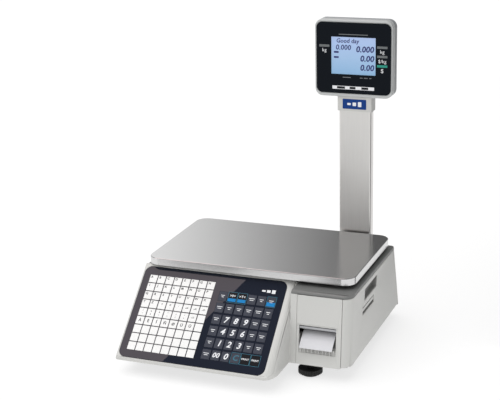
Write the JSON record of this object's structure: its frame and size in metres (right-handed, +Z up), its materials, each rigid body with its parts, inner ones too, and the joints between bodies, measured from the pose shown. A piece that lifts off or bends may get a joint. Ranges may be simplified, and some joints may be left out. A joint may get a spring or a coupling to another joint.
{
  "type": "retail price scale",
  "caption": "Counter-top price-computing scale: stainless pan, sloped keyboard, label printer behind a side cover, and a display head on a flat pole.",
  "frame": {"origin": "on the counter, under the middle of the whole scale's box", "axes": "+X to the operator's right, +Y from the keyboard to the pole, +Z up"},
  "size_m": [0.394, 0.409, 0.5675],
  "materials": {
    "case_abs": "fine spark-eroded texture, light warm grey",
    "head_grey": "satin mid grey",
    "black_plastic": "satin black",
    "panel_gloss": "high gloss, printed from behind",
    "key_white": "smooth white keys with grey legends",
    "key_dark": "smooth dark keys with white legends",
    "pan_steel": "bright, finely brushed along the width",
    "pole_steel": "fine upright brushing",
    "steel": "plated, plain",
    "alloy": "machined or die cast",
    "rubber": "matt black",
    "board_green": "solder mask",
    "window_dark": "smoked, high gloss",
    "lcd_blue": "backlit",
    "paper": "smooth coated label stock",
    "lever_green": "satin green",
    "level_vial": "clear vial with tinted fluid"
  },
  "bodies": {
    "case": {"base_tray": "black_plastic", "upper_housing": "case_abs", "bubble_level": "level_vial", "housing_screws": "steel", "port_panel": "steel", "power_inlet": "black_plastic", "pan_support": "alloy", "pan_pads": "rubber", "load_cell": "alloy", "load_cell_spacers": "alloy", "load_cell_bolts": "steel", "keyboard_panel": "panel_gloss", "keyboard_board": "board_green", "main_board": "board_green", "power_supply": "alloy", "printer_front": "case_abs", "printer_frame": "alloy", "drive_motor": "black_plastic", "label_strip": "paper", "tear_bar": "steel", "door_hinge_pin": "steel", "pole": "pole_steel", "pole_bracket": "alloy", "head_collar": "case_abs", "head_front_case": "case_abs", "head_rear_case": "head_grey", "display_windows": "window_dark", "lcd_modules": "lcd_blue", "display_board": "board_green"},
    "foot_front_left": {"foot_front_left": "black_plastic"},
    "foot_front_right": {"foot_front_right": "black_plastic"},
    "foot_rear_left": {"foot_rear_left": "black_plastic"},
    "foot_rear_right": {"foot_rear_right": "black_plastic"},
    "pan": {"pan": "pan_steel"},
    "preset_keys": {"preset_keys": "key_white"},
    "function_keys": {"function_keys": "key_dark"},
    "key_0": {"key_0": "key_dark"},
    "key_1": {"key_1": "key_dark"},
    "key_2": {"key_2": "key_dark"},
    "key_3": {"key_3": "key_dark"},
    "key_4": {"key_4": "key_dark"},
    "key_5": {"key_5": "key_dark"},
    "key_6": {"key_6": "key_dark"},
    "key_7": {"key_7": "key_dark"},
    "key_8": {"key_8": "key_dark"},
    "key_9": {"key_9": "key_dark"},
    "key_00": {"key_00": "key_dark"},
    "key_clear": {"key_clear": "key_dark"},
    "key_print": {"key_print": "key_dark"},
    "key_auto_print": {"key_auto_print": "key_dark"},
    "key_zero": {"key_zero": "key_dark"},
    "key_tare": {"key_tare": "key_dark"},
    "power_switch": {"power_switch": "black_plastic"},
    "side_door": {"side_door": "case_abs"},
    "door_latch": {"door_latch": "case_abs"},
    "print_head": {"print_head": "alloy"},
    "head_lever": {"head_lever": "lever_green"},
    "label_roll": {"label_roll": "paper"},
    "platen_roller": {"platen_roller": "rubber"},
    "takeup_spool": {"takeup_spool": "paper"}
  },
  "joints": [
    {"name": "foot_front_left_height", "type": "slide", "parent": "case", "child": "foot_front_left", "axis": [0, 0, -1], "range_m": [-0.002, 0.008]},
    {"name": "foot_front_right_height", "type": "slide", "parent": "case", "child": "foot_front_right", "axis": [0, 0, -1], "range_m": [-0.002, 0.008]},
    {"name": "foot_rear_left_height", "type": "slide", "parent": "case", "child": "foot_rear_left", "axis": [0, 0, -1], "range_m": [-0.002, 0.008]},
    {"name": "foot_rear_right_height", "type": "slide", "parent": "case", "child": "foot_rear_right", "axis": [0, 0, -1], "range_m": [-0.002, 0.008]},
    {"name": "pan_lift_off", "type": "slide", "parent": "case", "child": "pan", "axis": [0, 0, 1], "range_m": [0, 0.06]},
    {"name": "preset_keys_press", "type": "slide", "parent": "case", "child": "preset_keys", "axis": [0, 0.6743, -0.7385], "range_m": [0, 0.0008], "stiffness_N_per_m": 3000, "springref_m": -0.0006},
    {"name": "function_keys_press", "type": "slide", "parent": "case", "child": "function_keys", "axis": [0, 0.6743, -0.7385], "range_m": [0, 0.0008], "stiffness_N_per_m": 3000, "springref_m": -0.0006},
    {"name": "key_0_press", "type": "slide", "parent": "case", "child": "key_0", "axis": [0, 0.6743, -0.7385], "range_m": [0, 0.0008], "stiffness_N_per_m": 600, "springref_m": -0.0006},
    {"name": "key_1_press", "type": "slide", "parent": "case", "child": "key_1", "axis": [0, 0.6743, -0.7385], "range_m": [0, 0.0008], "stiffness_N_per_m": 600, "springref_m": -0.0006},
    {"name": "key_2_press", "type": "slide", "parent": "case", "child": "key_2", "axis": [0, 0.6743, -0.7385], "range_m": [0, 0.0008], "stiffness_N_per_m": 600, "springref_m": -0.0006},
    {"name": "key_3_press", "type": "slide", "parent": "case", "child": "key_3", "axis": [0, 0.6743, -0.7385], "range_m": [0, 0.0008], "stiffness_N_per_m": 600, "springref_m": -0.0006},
    {"name": "key_4_press", "type": "slide", "parent": "case", "child": "key_4", "axis": [0, 0.6743, -0.7385], "range_m": [0, 0.0008], "stiffness_N_per_m": 600, "springref_m": -0.0006},
    {"name": "key_5_press", "type": "slide", "parent": "case", "child": "key_5", "axis": [0, 0.6743, -0.7385], "range_m": [0, 0.0008], "stiffness_N_per_m": 600, "springref_m": -0.0006},
    {"name": "key_6_press", "type": "slide", "parent": "case", "child": "key_6", "axis": [0, 0.6743, -0.7385], "range_m": [0, 0.0008], "stiffness_N_per_m": 600, "springref_m": -0.0006},
    {"name": "key_7_press", "type": "slide", "parent": "case", "child": "key_7", "axis": [0, 0.6743, -0.7385], "range_m": [0, 0.0008], "stiffness_N_per_m": 600, "springref_m": -0.0006},
    {"name": "key_8_press", "type": "slide", "parent": "case", "child": "key_8", "axis": [0, 0.6743, -0.7385], "range_m": [0, 0.0008], "stiffness_N_per_m": 600, "springref_m": -0.0006},
    {"name": "key_9_press", "type": "slide", "parent": "case", "child": "key_9", "axis": [0, 0.6743, -0.7385], "range_m": [0, 0.0008], "stiffness_N_per_m": 600, "springref_m": -0.0006},
    {"name": "key_00_press", "type": "slide", "parent": "case", "child": "key_00", "axis": [0, 0.6743, -0.7385], "range_m": [0, 0.0008], "stiffness_N_per_m": 600, "springref_m": -0.0006},
    {"name": "key_clear_press", "type": "slide", "parent": "case", "child": "key_clear", "axis": [0, 0.6743, -0.7385], "range_m": [0, 0.0008], "stiffness_N_per_m": 600, "springref_m": -0.0006},
    {"name": "key_print_press", "type": "slide", "parent": "case", "child": "key_print", "axis": [0, 0.6743, -0.7385], "range_m": [0, 0.0008], "stiffness_N_per_m": 600, "springref_m": -0.0006},
    {"name": "key_auto_print_press", "type": "slide", "parent": "case", "child": "key_auto_print", "axis": [0, 0.6743, -0.7385], "range_m": [0, 0.0008], "stiffness_N_per_m": 600, "springref_m": -0.0006},
    {"name": "key_zero_press", "type": "slide", "parent": "case", "child": "key_zero", "axis": [0, 0.6743, -0.7385], "range_m": [0, 0.0008], "stiffness_N_per_m": 600, "springref_m": -0.0006},
    {"name": "key_tare_press", "type": "slide", "parent": "case", "child": "key_tare", "axis": [0, 0.6743, -0.7385], "range_m": [0, 0.0008], "stiffness_N_per_m": 600, "springref_m": -0.0006},
    {"name": "power_switch_rock", "type": "hinge", "parent": "case", "child": "power_switch", "pos_m": [-0.064, 0.1635, 0.07], "axis": [1, 0, 0], "range_deg": [0, 9]},
    {"name": "side_door_hinge", "type": "hinge", "parent": "case", "child": "side_door", "pos_m": [0.1932, 0, 0.0276], "axis": [0, 1, 0], "range_deg": [0, 88]},
    {"name": "door_latch_press", "type": "slide", "parent": "side_door", "child": "door_latch", "axis": [0, 0, -1], "range_m": [0, 0.0035], "stiffness_N_per_m": 400, "springref_m": -0.002},
    {"name": "print_head_lift", "type": "hinge", "parent": "case", "child": "print_head", "pos_m": [0.1393, -0.0515, 0.092], "axis": [-1, 0, 0], "range_deg": [0, 12]},
    {"name": "head_lever_turn", "type": "hinge", "parent": "case", "child": "head_lever", "pos_m": [0.1753, -0.0555, 0.084], "axis": [-1, 0, 0], "range_deg": [0, 60]},
    {"name": "label_roll_spin", "type": "hinge", "parent": "case", "child": "label_roll", "pos_m": [0.1393, 0.0615, 0.086], "axis": [-1, 0, 0], "continuous": true},
    {"name": "platen_spin", "type": "hinge", "parent": "case", "child": "platen_roller", "pos_m": [0.1393, -0.0785, 0.074], "axis": [1, 0, 0], "continuous": true},
    {"name": "takeup_spin", "type": "hinge", "parent": "case", "child": "takeup_spool", "pos_m": [0.1393, -0.0225, 0.048], "axis": [1, 0, 0], "continuous": true}
  ],
  "couplings": [
    {"joint": "platen_spin", "follows": "label_roll_spin", "ratio": 5.3333},
    {"joint": "takeup_spin", "follows": "label_roll_spin", "ratio": 3.4286},
    {"joint": "head_lever_turn", "follows": "print_head_lift", "ratio": 5}
  ]
}
